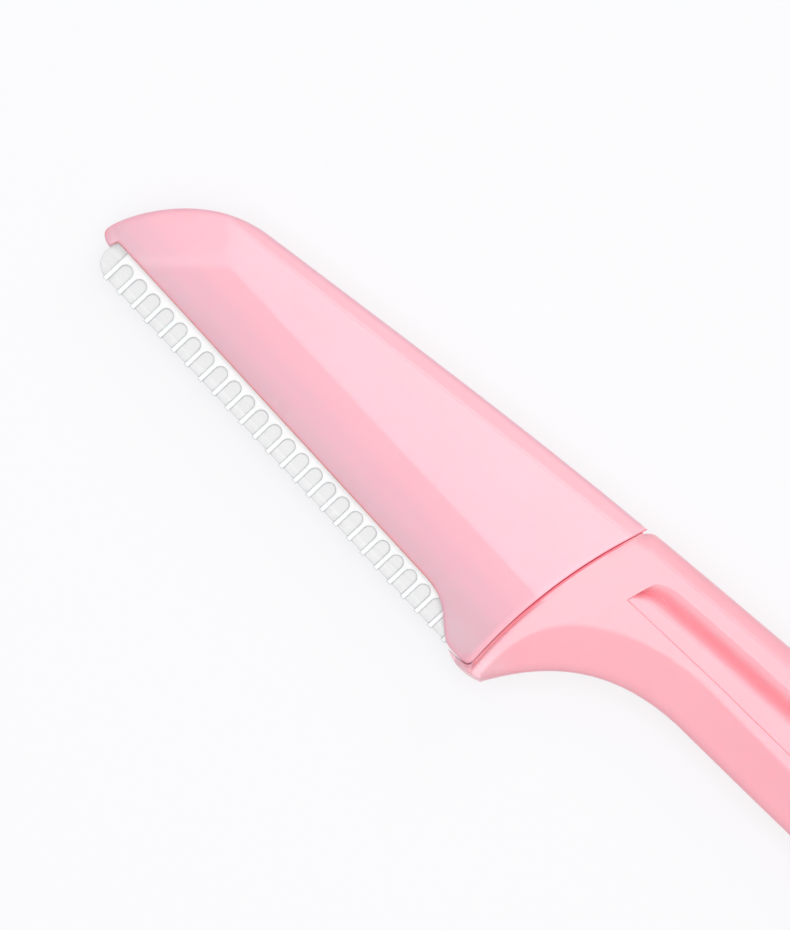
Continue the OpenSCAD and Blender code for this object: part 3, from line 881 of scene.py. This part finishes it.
def socket_solid():
    """The room for the tongue in both covers."""
    root_x = arc_x(HANDLE_ARC, TONGUE_HEIGHT) + CUT_PAST
    outline = resample(tongue_outline(TONGUE_FIT, TONGUE_ROOM, root_x)[::-1], SOCKET_LINE_STEP)
    no_rows = np.zeros((0, 2))
    plan = triangulated(outline, no_rows, even_points(outline, SOCKET_GRID_STEP), SOCKET_CLEARANCE)
    return solid("socket", plan, flat(TONGUE_THICKNESS / 2 + TONGUE_FIT), CUT_GROOVE)


def handle_outline(low, top):
    """The handle with its lip, its rib along the seam and its tongue, all in one outline."""
    top = top[top[:, 1] > RIB_TOP]
    upper_rib = seam_arc(SEAM_RADIUS, TONGUE_HIGH, RIB_TOP, RIB_TOP_STEPS)[::-1]
    tongue = tongue_outline(0, 0, SEAM_SETBACK)[1:-1][::-1]
    lower_rib = seam_arc(SEAM_RADIUS, RIB_FOOT, TONGUE_LOW, RIB_LOW_STEPS)[::-1]
    corner = (foot_curve() + LOBE_CLEARANCE * np.array(LOBE_OUTWARD))[::-1][1:]
    corner = corner[corner[:, 1] > -LIP_TOP_DROP]
    return np.concatenate([low, top[::-1], upper_rib, tongue, lower_rib, corner,
                           [[foot_end[0], -LIP_TOP_DROP]]])


def over_foot(points):
    """Nothing at the lip below the head's lobe, and one from the seam's rib upward."""
    return smooth((points[:, 1] + LIP_TOP_DROP) / (RIB_FOOT + LIP_TOP_DROP))


def fullness(points):
    """One on the handle, falling along its lip to nothing, and nothing in front of the seam."""
    depth = behind(points, HANDLE_ARC)
    return np.where(depth > -SEAM_STEP / 2, 1, smooth(1 + depth / LIP_RAMP) * (1 - over_foot(points)))


def make_handle():
    low = lower_edge()
    top = upper_edge()
    outline = resample(handle_outline(low, top), HANDLE_LINE_STEP)
    line = Line(outline, closed=True)
    past_shoulder = top[top[:, 0] > arc_x(HANDLE_ARC, SHOULDER_HEIGHT)]
    straight = np.concatenate([[[-SHOULDER_RUN, SHOULDER_HEIGHT]], past_shoulder])
    flats = handle_bevels(*[Line(resample(side, HANDLE_LINE_STEP, closed=False))
                            for side in (low, straight)])

    def surface(points):
        depth = behind(points, HANDLE_ARC)
        sharp = flats(points)
        from_head = depth + SEAM_GAP + RIB_LEDGE
        rib = np.minimum(cover_surface(points), sharp) - edge_drop(from_head, RIB_ROUND)
        lip = mix(LIP_THICKNESS / 2, sharp - SEAM_ROUND, smooth(1 + depth / LIP_RAMP))
        front = np.where(depth > SEAM_SPLIT, np.maximum(rib, LIP_THICKNESS / 2), TONGUE_THICKNESS / 2)
        front = mix(lip, front, over_foot(points))
        grip = np.maximum(sharp - edge_drop(depth, SEAM_ROUND), rib) - recess_depth(points)
        return np.where(depth > -SEAM_STEP / 2, grip, front)

    def height(points):
        radius = mix(FRONT_ROUND, HANDLE_ROUND, fullness(points))
        return surface(points) - edge_drop(line.distance(points), radius)

    grid = adaptive_points(outline, surface, **HANDLE_GRID)
    finest = (np.rint(grid / HANDLE_GRID["fine"]) % 2).any(1)
    grid = grid[~in_channel(grid) & ~(finest & (grid[:, 0] > FINE_TO))]
    crossing = low[low[:, 0] > arc_x(HANDLE_ARC - SEAM_ROUND, low[:, 1])][0]
    plan = triangulated(outline, inset_rows(outline, HANDLE_ROUND), grid,
                        HANDLE_ROUND + HANDLE_CLEARANCE,
                        seam_rows(crossing[1] + SEAM_STEP) + recess_rows())
    return solid("handle_moulding", plan, height, PARTING_GROOVE, painted_glow_amount=painted_glow_amount)


def seam_rows(foot):
    """Rows of points across the rib, over the handle's rounded edge and at the tongue's root."""
    across = SEAM_GAP * np.array(RIB_ROW_SHARES)
    over = SEAM_ROUND * (1 - np.cos(np.radians(SEAM_ROW_TURNS)))
    rows = [seam_arc(HANDLE_ARC - depth, foot, RIB_TOP - SEAM_STEP, SEAM_ROW_STEPS)
            for depth in (*across, -SEAM_STEP, *over)]
    rows += [seam_arc(HANDLE_ARC - SEAM_SPLIT + side * SEAM_STEP / 2, TONGUE_LOW, TONGUE_HIGH,
                      SPLIT_ROW_STEPS) for side in (-1, 1)]
    return [resample(row, HANDLE_LINE_STEP, closed=False) for row in rows]


def in_channel(points):
    """Where the recess keeps its section, so that long rows of points serve it best."""
    x, y = points.T
    depth = recess_rim(x) - y
    along = (x > CHANNEL_FROM) & (x < CHANNEL_TO)
    return along & (depth > -CHANNEL_STEP) & (depth < CHANNEL_WIDTH + CHANNEL_STEP)


def recess_rows():
    """Rows of points along the channel of the recess, its lower border and its front wall."""
    x = np.linspace(CHANNEL_FROM, CHANNEL_TO, CHANNEL_ROW_STEPS)
    rows = [np.column_stack([x, recess_rim(x) - depth])
            for depth in np.arange(0, CHANNEL_WIDTH, CHANNEL_STEP)]
    steps = STEP_WIDTH * np.array(BORDER_ROW_SHARES)
    rows += [resample(seam_arc(RECESS_ARC - step, *RECESS_FRONT), HANDLE_LINE_STEP, closed=False)
             for step in steps]
    x = np.linspace(arc_x(RECESS_ARC, RECESS_FRONT[0]), RECESS_END, BORDER_ROW_STEPS)
    return rows + [np.column_stack([x, recess_border(x) + step]) for step in steps]


# Guard comb

def comb_outline():
    """The comb's outline from its place along the cutting edge and its height over it."""
    half_bar = BAR_WIDTH / 2
    radius = (BAR_PITCH - BAR_WIDTH) / 2
    first = -(EDGE_LENGTH - COMB_SETBACK - half_bar)
    angles = np.linspace(math.pi, 0, ARCH_STEPS)
    arch = np.column_stack([radius * np.cos(angles), WINDOW_HEIGHT - radius + radius * np.sin(angles)])
    points = []
    for i in range(BAR_COUNT):
        bar = first + i * BAR_PITCH
        points += [(bar - half_bar, -BAR_TIP), (bar + half_bar, -BAR_TIP)]
        if i < BAR_COUNT - 1:
            points += [(bar + BAR_PITCH / 2 + along, above) for along, above in arch]
    points += [(bar + half_bar, WINDOW_HEIGHT), (COMB_HEEL, WINDOW_HEIGHT),
               (COMB_HEEL, COMB_HEIGHT), (first - half_bar, COMB_HEIGHT)]
    return np.array(points)


def make_comb():
    outline = resample(np.array([strip(*p) for p in comb_outline()]), COMB_LINE_STEP)
    line = Line(outline, closed=True)

    def surface(points):
        share = np.clip((above_edge(points) + BAR_TIP) / (WINDOW_HEIGHT + BAR_TIP), 0, 1)
        return mix(BAR_TIP_THICKNESS, COMB_THICKNESS, share) / 2

    def height(points):
        return surface(points) - edge_drop(line.distance(points), COMB_ROUND)

    plan = triangulated(outline, inset_rows(outline, COMB_ROUND, COMB_INSET_STEPS),
                        adaptive_points(outline, surface, **COMB_GRID), COMB_ROUND + COMB_CLEARANCE)
    comb = solid("comb_moulding", plan, height, COMB_GROOVE)
    slit = slit_solid()
    cut_out(comb, slit)
    bpy.data.objects.remove(slit)
    return comb


def slit_solid():
    """The slit of the comb that takes the blade, open towards the spine."""
    heel = COMB_HEEL + CUT_PAST
    top = COMB_HEIGHT + CUT_PAST
    corners = [(-EDGE_LENGTH, -BLADE_FIT), (heel, -BLADE_FIT), (heel, top), (-EDGE_LENGTH, top)]
    outline = np.array([strip(*corner) for corner in corners])
    plan = (outline, np.array([(0, 1, 2), (0, 2, 3)]), [0, 1, 2, 3])
    return solid("slit", plan, flat(BLADE_THICKNESS / 2 + BLADE_FIT), CUT_GROOVE)


# Blade

def blade_outline():
    """The blade's outline from its place along the cutting edge and its height over it."""
    angles = np.linspace(math.pi, math.pi * 3 / 2, TIP_STEPS)
    tip = TIP_RADIUS * np.column_stack([1 + np.cos(angles), 1 + np.sin(angles)]) - [EDGE_LENGTH, 0]
    step = BLADE_STEP - EDGE_LENGTH
    return np.concatenate([[(BLADE_HEEL, 0), (BLADE_HEEL, BLADE_WIDTH), (step, BLADE_WIDTH),
                            (step, TIP_WIDTH), (-EDGE_LENGTH, TIP_WIDTH)], tip])


def make_blade():
    outline = resample(np.array([strip(*p) for p in blade_outline()]), BLADE_LINE_STEP)

    def height(points):
        share = np.clip(above_edge(points) / GRIND_WIDTH, 0, 1)
        return mix(KEEN_THICKNESS, BLADE_THICKNESS, share) / 2

    ends = (TIP_RADIUS / 2 - EDGE_LENGTH, BLADE_HEEL - CREASE_END)
    creases = [np.array([strip(end, GRIND_WIDTH + side * GRIND_CREASE) for end in ends])
               for side in (-1, 1)]
    creases = [resample(crease, BLADE_LINE_STEP, closed=False) for crease in creases]
    plan = triangulated(outline, inset_rows(outline, GRIND_CREASE, 1),
                        even_points(outline, BLADE_GRID_STEP), BLADE_CLEARANCE, creases)
    return solid("blade_strip", plan, height, BLADE_GROOVE)


# Materials

class Shader:
    """The nodes of a material or a world, with short ways to add and join them."""

    def __init__(self, owner):
        owner.use_nodes = True
        self.owner = owner
        self.nodes = owner.node_tree.nodes
        self.links = owner.node_tree.links
        self.nodes.clear()

    def add(self, kind, inputs=(), **settings):
        """A new node, with numbers or other nodes' outputs on its inputs."""
        node = self.nodes.new("ShaderNode" + kind)
        for name, value in settings.items():
            setattr(node, name, value)
        for name, value in dict(inputs).items():
            if isinstance(value, bpy.types.NodeSocket):
                self.links.new(value, node.inputs[name])
            else:
                node.inputs[name].default_value = value
        return node

    def maths(self, operation, *values, clamp=False):
        return self.add("Math", enumerate(values), operation=operation, use_clamp=clamp).outputs[0]

    def place(self):
        """Place in the plan, in millimetres."""
        there = self.add("TexCoord").outputs["Object"]
        moved = self.add("VectorMath", {0: there, 1: -PLAN_ZERO}, operation="ADD").outputs[0]
        return self.add("VectorMath", {0: moved, "Scale": 1 / MM}, operation="SCALE").outputs[0]

    def noise(self, place, size, detail, stretch=(1, 1, 1), turn=0):
        """Even noise between 0 and 1 with blotches of about a size in millimetres."""
        mapped = self.add("Mapping", {"Vector": place, "Rotation": (0, 0, turn), "Scale": stretch},
                          vector_type="POINT").outputs[0]
        return self.add("TexNoise", {"Vector": mapped, "Scale": 1 / size, "Detail": detail}).outputs[0]

    def spread(self, value, low, high):
        """A noise's middle range, spread over two numbers."""
        start, end = NOISE_MIDDLE
        return self.add("MapRange", {"Value": value, "From Min": start, "From Max": end,
                                     "To Min": low, "To Max": high}).outputs[0]

    def rise(self, value, start, end):
        """Nothing up to a start, rising evenly to one at an end."""
        return self.add("MapRange", {"Value": value, "From Min": start, "From Max": end}).outputs[0]

    def ramp(self, value, *stops):
        """Colours, as written in a picture, at places along a value."""
        node = self.add("ValToRGB", {"Fac": value})
        node.color_ramp.interpolation = "EASE"
        elements = node.color_ramp.elements
        for at, _ in stops[1:-1]:
            elements.new(at)
        for element, (at, colour) in zip(elements, stops):
            element.position = at
            element.color = linear(colour)
        return node.outputs[0]

    def above_edge(self, place):
        """Height over the cutting edge, in millimetres."""
        up = heading(math.pi / 2 - EDGE_TILT)
        return self.add("VectorMath", {0: place, 1: (*up, 0)}, operation="DOT_PRODUCT").outputs["Value"]

    def height(self, place):
        """Height in the plan, towards the spine, in millimetres."""
        return self.add("SeparateXYZ", {0: place}).outputs["Y"]

    def mark(self, name):
        """A number that the piece's points keep."""
        return self.add("Attribute", attribute_name=name).outputs["Fac"]

    def from_edge(self):
        """Distance from the piece's outline, in millimetres."""
        return self.maths("SUBTRACT", EDGE_REACH, self.mark("near_edge"))

    def from_seam(self, place):
        """Distance from the seam's arc, in millimetres, above zero on the head's side of it."""
        run = self.add("VectorMath", {0: place, 1: (*SEAM_CENTRE, 0)}, operation="SUBTRACT").outputs[0]
        parts = self.add("SeparateXYZ", {0: run}).outputs
        forward = self.maths("MINIMUM", parts[0], 0)
        reach = self.maths("SQRT", self.maths("ADD", self.maths("POWER", forward, 2),
                                              self.maths("POWER", parts[1], 2)))
        return self.maths("SUBTRACT", reach, SEAM_RADIUS)

    def near_zero(self, value, band):
        """One up to zero, falling softly to nothing at a band's width."""
        return self.add("MapRange", {"Value": value, "From Max": band, "To Min": 1, "To Max": 0},
                        interpolation_type="SMOOTHSTEP").outputs[0]

    def mixed(self, share, colour, other):
        """A colour that turns into another, a node's or one written as in a picture."""
        if not isinstance(other, bpy.types.NodeSocket):
            other = linear(other)
        node = self.add("Mix", {"Factor": share, COLOUR_A: colour, COLOUR_B: other}, data_type="RGBA")
        return node.outputs[COLOUR_RESULT]

    def tinted(self, colour, value):
        """A colour made lighter or darker by a factor."""
        return self.add("VectorMath", {0: colour, "Scale": value}, operation="SCALE").outputs[0]

    def bump(self, height, depth):
        """Fine relief of a depth in millimetres."""
        return self.add("Bump", {"Height": height, "Strength": 1, "Distance": depth * MM}).outputs[0]

    def sees_backdrop(self):
        """One for what the camera sees, by itself, in metal or through glass."""
        rays = self.add("LightPath").outputs
        seen = self.maths("MAXIMUM", rays["Is Camera Ray"], rays["Is Glossy Ray"])
        return self.maths("MAXIMUM", seen, rays["Is Transmission Ray"])

    def blended(self, share, first, second):
        """A surface or light that turns into another."""
        return self.add("MixShader", {0: share, 1: first.outputs[0], 2: second.outputs[0]})

    def finish(self, surface, kind="OutputMaterial"):
        self.add(kind, {"Surface": surface.outputs[0]})
        return self.owner


def linear(colour):
    """A colour from its numbers in a picture, 0 to 255, as a shader takes it."""
    shares = [c / 255 for c in colour]
    return (*[c / 12.92 if c < 0.04045 else ((c + 0.055) / 1.055) ** 2.4 for c in shares], 1)


def plastic(shader, colour, place, roughness, grain, coat, scatter):
    """Moulded plastic: cloudy colour, a satin skin with flow marks, and fine grain."""
    cloud = shader.spread(shader.noise(place, CLOUD_SIZE, 3), 1 - CLOUD_SPREAD, 1 + CLOUD_SPREAD)
    skin = shader.spread(shader.noise(place, FLOW_SIZE, 2, FLOW_STRETCH),
                         roughness * (1 - FLOW_SPREAD), roughness * (1 + FLOW_SPREAD))
    ripple = shader.maths("MULTIPLY", shader.noise(place, RIPPLE_SIZE, 1), RIPPLE_SHARE)
    relief = shader.maths("ADD", shader.noise(place, GRAIN_SIZE, 2), ripple)
    return shader.add("BsdfPrincipled", {
        "Base Color": shader.tinted(colour, cloud),
        "Roughness": skin,
        "Normal": shader.bump(relief, grain),
        "IOR": PLASTIC_IOR,
        "Coat Weight": coat,
        "Coat Roughness": COAT_ROUGHNESS,
        "Coat IOR": COAT_IOR,
        "Subsurface Weight": scatter,
        "Subsurface Radius": SCATTER_RADIUS,
        "Subsurface Scale": SCATTER_DEPTH * MM})


def head_plastic():
    """Rose plastic, with painted shade that turns it mauve towards the rim and its edges, and painted
    glow and highlight along the rim and the seam.
    """
    shader = Shader(bpy.data.materials.new("rose_plastic"))
    place = shader.place()
    above = shader.above_edge(place)
    # Painted shade, darker and mauve towards the rim
    colour = shader.ramp(shader.maths("DIVIDE", above, SPINE_HEIGHT), *HEAD_SHADE_COLOURS)
    from_edge = shader.from_edge()
    # Painted shade along the head's outline
    colour = shader.mixed(shader.near_zero(from_edge, HEAD_EDGE_SHADE_BAND), colour, HEAD_EDGE_SHADE_COLOUR)
    # Painted shadow and red glow along the rim
    from_rim = shader.maths("ABSOLUTE", shader.maths("SUBTRACT", above, (RIM_TIP + RIM_HEEL) / 2))
    glow = shader.maths("MULTIPLY", shader.near_zero(from_edge, RIM_GLOW_BAND),
                        shader.near_zero(from_rim, RIM_GLOW_REACH))
    colour = shader.mixed(glow, colour, RIM_GLOW_COLOUR)
    from_seam = shader.from_seam(place)
    # Painted highlight beside the seam
    colour = shader.mixed(shader.near_zero(from_seam, SEAM_HIGHLIGHT_BAND), colour, SEAM_HIGHLIGHT_COLOUR)
    # Painted shade and red glow in the seam's gap
    high = shader.rise(shader.height(place), FOOT_CORNER, SEAM_GLOW_LOW)
    painted_seam_glow = shader.maths("MULTIPLY", high, shader.near_zero(from_seam, SEAM_PAINTED_GLOW_BAND))
    top = shader.near_zero(from_edge, SEAM_PAINTED_GLOW_REACH)
    colour = shader.mixed(shader.maths("MULTIPLY", painted_seam_glow, top), colour, SEAM_PAINTED_GLOW_COLOUR)
    return shader.finish(plastic(shader, colour, place, **SATIN_SKIN))


def handle_plastic():
    """Salmon plastic, with painted shade that greys its thin edge and lip, a pale greyish painted
    highlight at the heel, and painted red glow in its hollows and the seam's gap.
    """
    shader = Shader(bpy.data.materials.new("salmon_plastic"))
    place = shader.place()
    colour = shader.ramp(shader.noise(place, HANDLE_CLOUD_SIZE, 1), *HANDLE_COLOURS)
    # Painted highlight at the heel
    heel = shader.add("VectorMath", {0: place, 1: (HEEL_X - HEEL_HIGHLIGHT_RUN, -HEEL_DROP, 0)},
                      operation="DISTANCE").outputs["Value"]
    colour = shader.mixed(shader.near_zero(heel, HEEL_HIGHLIGHT_BAND), colour, HEEL_HIGHLIGHT_COLOUR)
    # Painted shade along the handle's outline
    edge = shader.near_zero(shader.from_edge(), HANDLE_EDGE_SHADE_BAND)
    colour = shader.mixed(edge, colour, HANDLE_EDGE_SHADE_COLOUR)
    # Painted shade on the lip
    lip = shader.rise(shader.from_seam(place), -LIP_SHADE_BAND, LIP_SHADE_RUN)
    low = shader.near_zero(shader.maths("SUBTRACT", shader.height(place), FOOT_CORNER), LIP_SHADE_BAND)
    colour = shader.mixed(shader.maths("MULTIPLY", lip, low), colour, LIP_SHADE_COLOUR)
    # Painted shade and red glow in the recess's valley and, stronger, in the seam's gap
    painted_glow_share = shader.mark("painted_glow_amount")
    colour = shader.mixed(painted_glow_share, colour, HOLLOW_PAINTED_GLOW_COLOUR)
    # Painted shade and red glow in the seam's gap
    colour = shader.mixed(shader.maths("SUBTRACT", painted_glow_share, 1, clamp=True), colour, SEAM_PAINTED_GLOW_COLOUR)
    return shader.finish(plastic(shader, colour, place, **SATIN_SKIN))


def comb_plastic():
    shader = Shader(bpy.data.materials.new("white_plastic"))
    place = shader.place()
    colour = shader.ramp(shader.noise(place, COMB_CLOUD_SIZE, 2), *COMB_COLOURS)
    # Painted shade along the comb's outline
    edge = shader.near_zero(shader.from_edge(), COMB_EDGE_SHADE_BAND)
    colour = shader.mixed(edge, colour, COMB_EDGE_SHADE_COLOUR)
    return shader.finish(plastic(shader, colour, place, **COMB_SKIN))


def blade_steel():
    """Brushed along the blade, with the finer cross lines of its ground edge."""
    shader = Shader(bpy.data.materials.new("brushed_steel"))
    place = shader.place()
    brushed = shader.noise(place, BRUSH_SIZE, 3, BRUSH_STRETCH, EDGE_TILT)
    ground = shader.noise(place, GROUND_SIZE, 2, GROUND_STRETCH, EDGE_TILT)
    edge = shader.maths("LESS_THAN", shader.above_edge(place), GRIND_WIDTH)
    lines = shader.add("Mix", {"Factor": edge, "A": brushed, "B": ground}).outputs["Result"]
    colour = shader.mixed(edge, shader.ramp(brushed, *STEEL_COLOURS),
                          shader.ramp(ground, *GROUND_COLOURS))
    # Painted shade along the blade's outline
    keen_shade = shader.near_zero(shader.from_edge(), KEEN_SHADE_BAND)
    return shader.finish(shader.add("BsdfPrincipled", {
        "Base Color": shader.mixed(keen_shade, colour, KEEN_SHADE_COLOUR),
        "Metallic": 1,
        "Roughness": shader.spread(lines, *STEEL_ROUGHNESS),
        "Normal": shader.bump(lines, STEEL_RELIEF)}))


def dress(piece, material, body, node):
    """Gives a piece its material and its body, and hides the CAD node that it stands for."""
    piece.data.materials.clear()
    piece.data.materials.append(material)
    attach(piece, body)
    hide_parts(node)


# Light, floor and camera

def area_light(name, place, target, size, radiance):
    """A square soft light, in millimetres, aimed at a place and given by how bright it looks."""
    light = bpy.data.lights.new(name, "AREA")
    light.shape = "SQUARE"
    light.size = size * MM
    light.energy = radiance * math.pi * light.size ** 2
    lamp = new_object(name, light)
    lamp.location = Vector(place) * MM
    lamp.rotation_mode = "QUATERNION"
    lamp.rotation_quaternion = (Vector(target) - Vector(place)).to_track_quat("-Z", "Y")
    lamp.visible_camera = False


def make_world():
    shader = Shader(bpy.data.worlds.new("studio"))
    around = shader.add("Background", {"Color": (1, 1, 1, 1), "Strength": AMBIENT})
    seen = shader.add("Background", {"Color": linear(BACKDROP)})
    sky = shader.blended(shader.sees_backdrop(), around, seen)
    bpy.context.scene.world = shader.finish(sky, "OutputWorld")


def make_floor():
    """A wide pale floor. A share of it glows, as a backdrop lit by itself, and keeps it even."""
    reach = FLOOR_REACH * MM
    depth = cad_low.z - FLOOR_GAP * MM
    mesh = bpy.data.meshes.new("floor")
    corners = [(x * reach, y * reach, depth) for x, y in ((-1, -1), (1, -1), (1, 1), (-1, 1))]
    mesh.from_pydata(corners, [], [(0, 1, 2, 3)])
    shader = Shader(bpy.data.materials.new("floor_paper"))
    paper = shader.add("BsdfDiffuse", {"Color": (FLOOR_WHITE, FLOOR_WHITE, FLOOR_WHITE, 1)})
    glow = shader.add("Emission", {"Color": linear(BACKDROP)})
    share = shader.maths("MULTIPLY", shader.sees_backdrop(), FLOOR_GLOW)
    mesh.materials.append(shader.finish(shader.blended(share, paper, glow)))
    new_object("floor", mesh)


def make_camera():
    camera = bpy.data.cameras.new("camera")
    camera.lens = LENS
    camera.clip_start, camera.clip_end = CLIP
    eye = new_object("camera", camera)
    distance = PHOTO_HEIGHT * PIXEL * LENS / camera.sensor_width
    eye.location = PLAN_ZERO + Vector((*VIEW_CENTRE, VIEW_LEVEL + distance)) * MM
    eye.rotation_euler = (0, 0, VIEW_TURN)
    bpy.context.scene.camera = eye


covers = make_covers()
handle = make_handle()
comb = make_comb()
rose = head_plastic()
dress(covers[0], rose, "head", "front_cover")
dress(covers[1], rose, "head", "back_cover")
dress(handle, handle_plastic(), "handle", "handle")
dress(comb, comb_plastic(), "head", "guard_comb")
dress(make_blade(), blade_steel(), "head", "blade")

make_world()
make_floor()
make_camera()
area_light("overhead", **OVERHEAD)
area_light("spine_key", **SPINE_KEY)
bpy.context.scene.view_settings.view_transform = "Standard"
